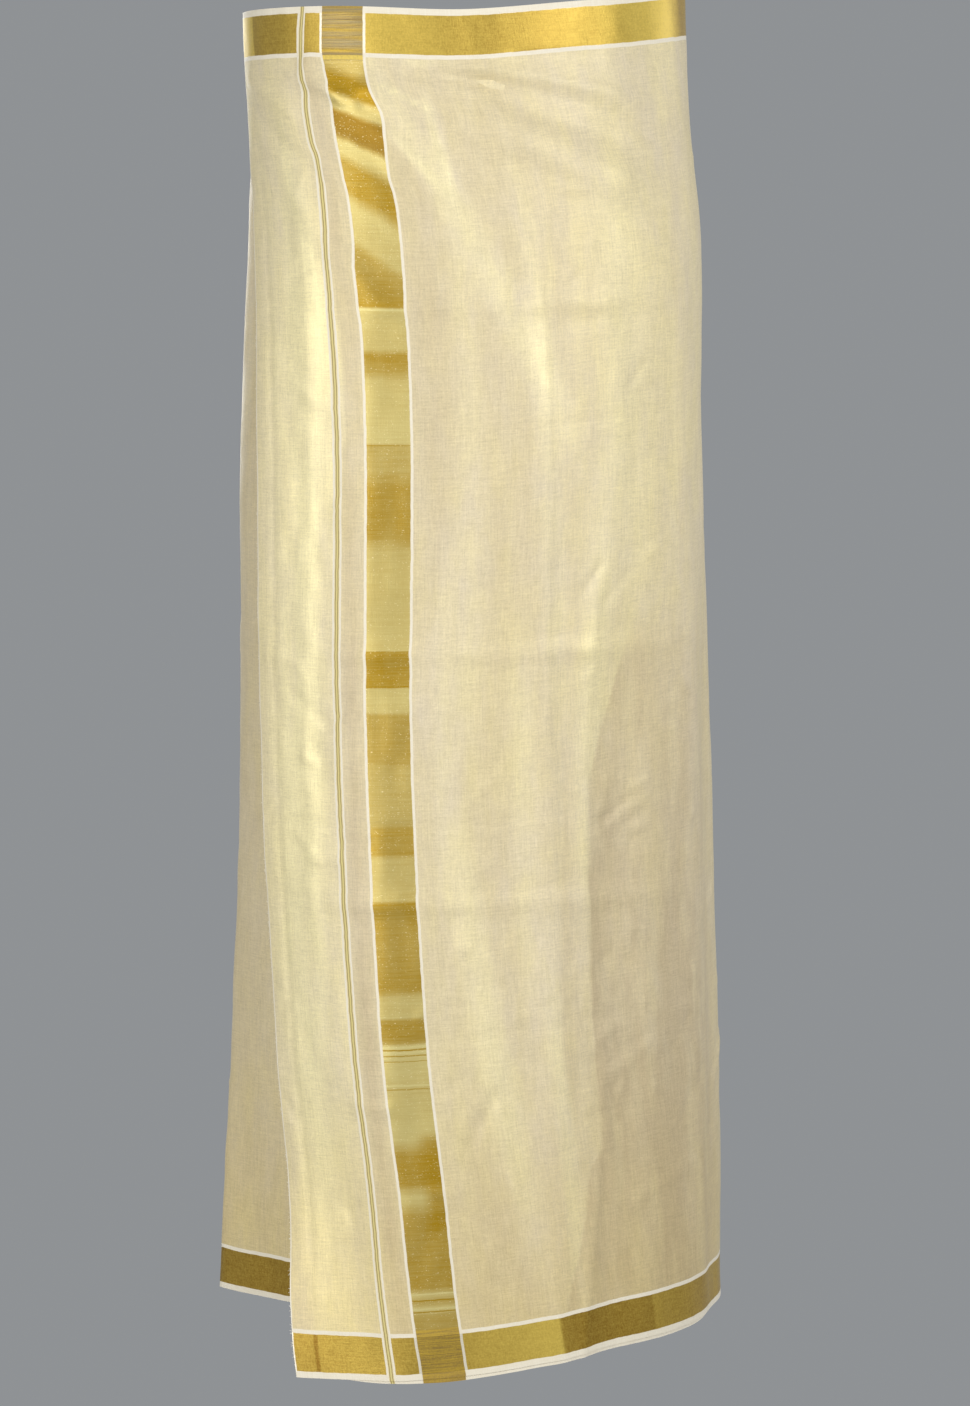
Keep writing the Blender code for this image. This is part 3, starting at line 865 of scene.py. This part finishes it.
def stripe_zari(weave, sizes, colours):
    """Colour of the stripe across the cloth, with the painted light and shade of its stretches of dark and
    pale zari.
    """
    start, down, patch = weave.start, weave.down, weave.patch
    aside = weave.along - (sizes.stripe_from + sizes.stripe_to) / 2
    steeper = start.math("DIVIDE", weave.flat_down - SLANT_FROM, SLANT_REACH, clamp=True)
    slant = steeper * MORE_SLANT + SLANT
    near_waist = start.math("SUBTRACT", 1.0, (weave.flat_down - SLANT_END) / SLANT_FADE, clamp=True)
    place = down - aside * slant * near_waist + patch * 0.004 * near_waist
    # Painted light and shade of the stripe's stretches, slanting near the waist
    tone = joined_ramps(UPPER_TONES, LOWER_TONES, "tone", place)
    # Painted shade on the stripe's far half
    shaded_half = lane(place, *SHADED_HALF, HALF_SOFT) * start.math("DIVIDE", aside, HALF_SOFT, clamp=True)
    tone = tone * (1 - shaded_half * 0.75)
    ragged = down + patch * 0.0012
    for row in THREAD_ROWS:
        tone = tone + lane_about(ragged, row.place, row.half_width, ROW_SOFT) * row.change
    rows = weave.noise(0.030, 0.0009, 8.5)
    tone = start.math("ADD", tone, rows * 0.42 + patch * 0.22, clamp=True)
    zari = blend_colour(tone, colours.zari_shade, colours.zari_pale)
    # Painted shade of a fold's hollow, in the borders' shaded gold
    zari = blend_colour(lane(place, *STRIPE_HOLLOW, HOLLOW_SOFT) * 0.75, zari, colours.border_shade)
    # Painted glints: fine specks of the highlight colour on the stripe
    painted_glints = start.math("MULTIPLY_ADD", weave.noise(0.0013, 0.0008, 14.5, 0.0), 5.0, -1.1, clamp=True)
    return blend_colour(painted_glints * 0.7, zari, colours.painted_gleam)


def border_gold(weave, colours):
    """Colour of the two gold borders, each with its own tones of painted light and shade along the cloth."""
    cords = weave.noise(0.0010, 0.0035, 9.5)
    # Painted light and shade of each border along the cloth
    top = joined_ramps(NEAR_BORDER_TONES, FAR_BORDER_TONES, "top", weave.flat_along)
    hem = joined_ramps(NEAR_BORDER_TONES, FAR_BORDER_TONES, "bottom", weave.flat_along)
    uneven = cords * 0.40 + weave.cloud * 0.20 + weave.weft * 0.30 + weave.grain * 0.40
    tone = weave.start.math("ADD", top * (1 - weave.at_hem) + hem * weave.at_hem, uneven, clamp=True)
    return blend_colour(tone, colours.border_shade, colours.border_gold)


def crossing_rows(weave, colours):
    """Colour of the crossings of stripe and border: matte level rows, and ashen ones at the waist."""
    start, at_hem, grain = weave.start, weave.at_hem, weave.grain
    gold = start.math("ADD", weave.rough_rows * 2.4 + grain * 0.9, at_hem * 0.10 + 0.55, clamp=True)
    rows = blend_colour(gold, colours.line_brown, colours.crossing)
    ashen = weave.noise(0.060, 0.0023, 13.5, 1.0) * 1.8 + 0.30
    rows = blend_colour(start.math("MULTIPLY", ashen, 1 - at_hem, clamp=True), rows, colours.ash)
    bright = lane(weave.flat_down, *CROSSING_GOLD, ROW_SOFT) * (grain + 0.90)
    return blend_colour(bright, rows, colours.border_gold)


def bare_material(name):
    """A new material without nodes, and its tree."""
    material = bpy.data.materials.new(name)
    material.use_nodes = True
    material.node_tree.nodes.clear()
    return material, material.node_tree


def tissue_material(name, sizes, colours):
    """The double tissue weave with its borders, stripe, thin lines and crossings."""
    material, tree = bare_material(name)
    weave = Weave(tree, sizes)
    start, from_end, from_edge = weave.start, weave.from_end, weave.from_edge
    weft, warp = weave.weft, weave.warp

    # Where each woven part lies
    gold_low, gold_high = sizes.selvedge, sizes.selvedge + sizes.border
    in_border = lane(from_edge, gold_low, gold_high)
    in_selvedge = lane(from_edge, BEFORE, gold_low)
    in_inner_line = lane(from_edge, gold_high, gold_high + sizes.inner_line)
    in_white = start.math("MAXIMUM", in_selvedge, in_inner_line)
    in_stripe = lane(from_end, sizes.stripe_from + sizes.stripe_line, sizes.stripe_to - sizes.stripe_line)
    in_stripe_lines = lane(from_end, sizes.stripe_from, sizes.stripe_to) * (1 - in_stripe)
    in_lines = start.math("MAXIMUM", in_stripe_lines, lane(from_end, BEFORE, END_LINE))
    in_crossing = lane(from_edge, BEFORE, CROSSING_END) * in_stripe
    pair, half_pair = sizes.pair_middle, sizes.pair_width / 2
    in_pair = lane_about(from_end, pair, half_pair)

    # Each part's colour is laid over those before it
    tint, shine = tissue_ground(weave, colours)
    white_tone = start.math("ADD", weft * 0.5 + warp * 0.5, 0.35, clamp=True)
    white = blend_colour(white_tone, colours.white, colours.cotton)
    parts = (
        (in_border, border_gold(weave, colours)),
        (in_white, white),
        (in_stripe, stripe_zari(weave, sizes, colours)),
        (in_crossing, crossing_rows(weave, colours)),
        (in_lines, white),
        (in_pair, white),
        (lane_about(from_end, pair, half_pair * PAIR_CREAM), colours.tissue),
        (lane_about(from_end, pair, half_pair * PAIR_BROWN, PAIR_SOFT), colours.line_brown),
        (lane_about(from_end, pair, half_pair * PAIR_CORE, PAIR_SOFT), colours.zari_pale),
    )
    for where, part in parts:
        tint = blend_colour(where, tint, part)

    # How metallic and how rough each part is
    gold = start.math("MAXIMUM", in_border * (1 - in_pair), in_stripe * (1 - in_crossing), clamp=True)
    plain = (1 - gold) * (shine * 0.26 + 0.06) * (1 - start.math("MAXIMUM", in_white, in_pair))
    rough = 0.50 - gold * 0.08 - shine * 0.06 + weave.grain * 0.10

    # Relief of the threads
    fine = weave.noise(0.0006, 0.0006, 12.5, 0.0)
    relief = weft * 0.9 + warp * 0.8 + fine * 0.5 + weave.rough_rows * in_crossing * 2.0
    normal = start.node("Bump", None, {"Strength": 0.5, "Distance": 0.00022, "Height": relief})

    shader = start.node("BsdfPrincipled", None, {
        "Base Color": tint, "Metallic": gold * 0.44 + plain, "Roughness": rough, "Normal": normal,
        "Sheen Weight": 0.12, "Sheen Roughness": 0.45, "Specular IOR Level": 0.28})
    finish_surface(shader)
    return material


def grey(value):
    """A colour of three equal parts from one value."""
    return value.node("CombineColor", None, {0: value, 1: value, 2: value})


def finish_surface(shader):
    """Links a shader to its material's output."""
    output = shader.tree.nodes.new("ShaderNodeOutputMaterial")
    shader.tree.links.new(shader.socket, output.inputs["Surface"])


def plain_material(name, tint, roughness, grain_size):
    """A softly mottled plain finish on object coordinates."""
    material, tree = bare_material(name)
    start = Wire(tree)
    place = start.node("TexCoord", None, None, "Object")
    mottle = start.node("TexNoise", None, {"Vector": place, "Scale": 1 / grain_size, "Detail": 3.0}) - 0.5
    shade = blend_colour(start.math("ADD", mottle, 0.5, clamp=True), [c * 0.96 for c in tint], tint)
    shader = start.node("BsdfPrincipled", None, {"Base Color": shade, "Roughness": roughness})
    finish_surface(shader)
    return material


class DHOTI_OT_front_flap(Operator):
    """Wind the outer stretch, from the free edge round to the right side"""
    bl_idname = "dhoti.front_flap"
    bl_label = "Front flap"

    def execute(self, context):
        sizes, colours = context.scene.dhoti_sizes, context.scene.dhoti_colours
        piece = wind_stretch(FRONT, sizes, colours)
        hem = hang_second_ply(sizes, piece.data.materials[0])
        threads = edge_threads(sizes, colours)
        return {"FINISHED"}


class DHOTI_OT_back_stretch(Operator):
    """Wind the stretch that goes round the back"""
    bl_idname = "dhoti.back_stretch"
    bl_label = "Back stretch"

    def execute(self, context):
        piece = wind_stretch(BACK, context.scene.dhoti_sizes, context.scene.dhoti_colours)
        return {"FINISHED"}


class DHOTI_OT_under_stretch(Operator):
    """Wind the inner stretch, which shows at the left and goes on under the flap"""
    bl_idname = "dhoti.under_stretch"
    bl_label = "Under stretch"

    def execute(self, context):
        piece = wind_stretch(UNDER, context.scene.dhoti_sizes, context.scene.dhoti_colours)
        return {"FINISHED"}


def hang_second_ply(sizes, material):
    """A strip of the inner ply just inside the front hem, with its white edge showing below."""
    shares = np.linspace(*PLY_SHARES, PLY_ROWS)
    way = np.linspace(0, 1, PLY_COLUMNS)
    first, last = PLY_PLACES
    along = np.repeat((first + (last - first) * way)[None, :], PLY_ROWS, 0)
    down = np.repeat(shares[:, None] * sizes.cloth_width, PLY_COLUMNS, 1)
    points = cloth_places(along, shares, sizes, lift=-PLY_INSET)
    hang = sizes.ply_drop * ease(way / PLY_FADE_IN) * ease((1 - way) / PLY_FADE_OUT)
    hang = hang * (1 + PLY_UNEVEN * value_noise(way * PLY_WAVES, way * 0, PLY_SEED))
    points[..., 2] -= hang[None, :] * (shares[:, None] - shares[0]) / (shares[-1] - shares[0])
    piece = net_piece("second_ply_hem", points, along, down, sizes, material)
    give_wall(piece, sizes.wall * PLY_WALL)
    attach(piece, "root")
    return piece


def edge_threads(sizes, colours):
    """Short thread ends along the free edge, each a bent three-sided prism, joined in one mesh."""
    count = THREAD_COUNT
    draw = np.random.default_rng(THREAD_SEED)
    shares = np.sort(draw.uniform(*THREAD_SHARES, count))
    base, inner = (cloth_places(np.full((count, 1), along), shares, sizes, lift=-sizes.wall / 2)[:, 0]
                   for along in (0.0, THREAD_AIM))
    out = (base - inner) / np.linalg.norm(base - inner, axis=1)[:, None]
    reach = draw.uniform(*THREAD_REACHES, count)
    sag = draw.uniform(*THREAD_SAGS, count)
    points, faces = [], []
    for index in range(count):
        first = len(points)
        for station in (-THREAD_ROOT, THREAD_KNEE * reach[index], reach[index]):
            bend = max(station, 0) * sag[index] * (THREAD_DROOP + max(station, 0) / reach[index])
            middle = base[index] + out[index] * station + np.array([0, 0, -bend])
            side = np.cross(out[index], (0, 0, 1))
            for corner in range(3):
                angle = 2 * math.pi * corner / 3
                offset = np.array([0, 0, 1]) * math.cos(angle) + side * math.sin(angle)
                points.append(middle + offset * sizes.thread)
        for ring in (0, 3):
            for corner in range(3):
                a, b = first + ring + corner, first + ring + (corner + 1) % 3
                faces.append((a, b, b + 3, a + 3))
        faces.append((first + 2, first + 1, first))
        faces.append((first + 6, first + 7, first + 8))
    mesh = bpy.data.meshes.new("edge_threads")
    mesh.from_pydata([tuple(p) for p in points], [], faces)
    piece = bpy.data.objects.new("edge_threads", mesh)
    bpy.context.scene.collection.objects.link(piece)
    finish = plain_material("thread_white", tuple(colours.white), roughness=0.7, grain_size=0.002)
    mesh.materials.append(finish)
    deselect()
    piece.select_set(True)
    bpy.context.view_layer.objects.active = piece
    bpy.ops.object.mode_set(mode="EDIT")
    bpy.ops.mesh.select_all(action="SELECT")
    bpy.ops.mesh.normals_make_consistent(inside=False)
    bpy.ops.object.mode_set(mode="OBJECT")
    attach(piece, "root")
    return piece


def area_light(light):
    """Adds a rectangular light at its place, turned to its aim."""
    deselect()
    bpy.ops.object.light_add(type="AREA", location=light.place)
    lamp = bpy.context.object
    lamp.name = light.name
    lamp.data.shape = "RECTANGLE"
    lamp.data.size = light.width
    lamp.data.size_y = light.height
    lamp.data.energy = light.power
    lamp.data.color = light.tint
    direction = Vector(light.aim) - Vector(light.place)
    lamp.rotation_euler = direction.to_track_quat("-Z", "Y").to_euler()


def bowl_floor(colours):
    """A round floor whose rim turns up, seen from inside."""
    deselect()
    bpy.ops.mesh.primitive_cylinder_add(
        vertices=BOWL_SIDES, radius=BOWL_RADIUS, depth=BOWL_HEIGHT, end_fill_type="NGON",
        location=(0, 0, 0))
    floor = bpy.context.object
    floor.name = "stage_bowl"
    for face in floor.data.polygons:
        face.select = face.normal.z > 0.9
    bpy.ops.object.mode_set(mode="EDIT")
    bpy.ops.mesh.select_mode(type="FACE")
    bpy.ops.mesh.delete(type="FACE")
    bpy.ops.object.mode_set(mode="OBJECT")
    for edge in floor.data.edges:
        edge.select = all(floor.data.vertices[i].co.z < 0 for i in edge.vertices)
    bpy.ops.object.mode_set(mode="EDIT")
    bpy.ops.mesh.select_mode(type="EDGE")
    bpy.ops.mesh.bevel(offset=BOWL_CORNER, segments=CORNER_STEPS)
    bpy.ops.mesh.select_all(action="SELECT")
    bpy.ops.mesh.flip_normals()
    bpy.ops.object.mode_set(mode="OBJECT")
    lift = CAD_BOX[0][2] - FLOOR_BELOW + BOWL_HEIGHT / 2
    floor.data.transform(Matrix.Translation((0, 0, lift)))
    bpy.ops.object.shade_smooth()
    finish = plain_material("pale_floor", tuple(colours.floor), roughness=0.9, grain_size=0.5)
    floor.data.materials.append(finish)
    return floor


class DHOTI_OT_stage(Operator):
    """Make the pale round floor, the soft lights and the camera"""
    bl_idname = "dhoti.stage"
    bl_label = "Stage"

    def execute(self, context):
        scene = context.scene
        floor = bowl_floor(scene.dhoti_colours)
        for light in LIGHTS:
            area_light(light)

        world = bpy.data.worlds.new("soft_room")
        scene.world = world
        world.use_nodes = True
        background = world.node_tree.nodes["Background"]
        background.inputs["Color"].default_value = ROOM_TINT
        background.inputs["Strength"].default_value = ROOM_LIGHT
        scene.view_settings.view_transform = "Standard"

        deselect()
        bpy.ops.object.camera_add(location=CAMERA_PLACE, rotation=(CAMERA_TILT, 0, 0))
        camera = context.object
        camera.data.sensor_width = 36
        camera.data.lens = FOCAL_PIXELS * camera.data.sensor_width / IMAGE_HEIGHT
        scene.camera = camera
        return {"FINISHED"}


class DHOTI_PT_panel(Panel):
    """Lists the steps that make the cloth, with its sizes and colours"""
    bl_idname = "DHOTI_PT_panel"
    bl_label = "Worn dhoti cloth"
    bl_space_type = "VIEW_3D"
    bl_region_type = "UI"
    bl_category = "Dhoti"

    def draw(self, context):
        for operator in OPERATORS:
            self.layout.operator(operator.bl_idname)
        for group in (context.scene.dhoti_sizes, context.scene.dhoti_colours):
            for name in group.__annotations__:
                self.layout.prop(group, name)


OPERATORS = (DHOTI_OT_stage, DHOTI_OT_front_flap, DHOTI_OT_back_stretch, DHOTI_OT_under_stretch)
CLASSES = (DhotiSizes, DhotiColours, *OPERATORS, DHOTI_PT_panel)


def register():
    """Adds the cloth's panel, steps, sizes and colours."""
    for one in CLASSES:
        bpy.utils.register_class(one)
    bpy.types.Scene.dhoti_sizes = PointerProperty(type=DhotiSizes)
    bpy.types.Scene.dhoti_colours = PointerProperty(type=DhotiColours)


def unregister():
    """Takes them away again."""
    del bpy.types.Scene.dhoti_colours
    del bpy.types.Scene.dhoti_sizes
    for one in reversed(CLASSES):
        bpy.utils.unregister_class(one)


def main():
    """Makes the stage and the cloth."""
    register()
    bpy.ops.dhoti.stage()
    bpy.ops.dhoti.front_flap()
    bpy.ops.dhoti.back_stretch()
    bpy.ops.dhoti.under_stretch()


if __name__ == "__main__":
    main()
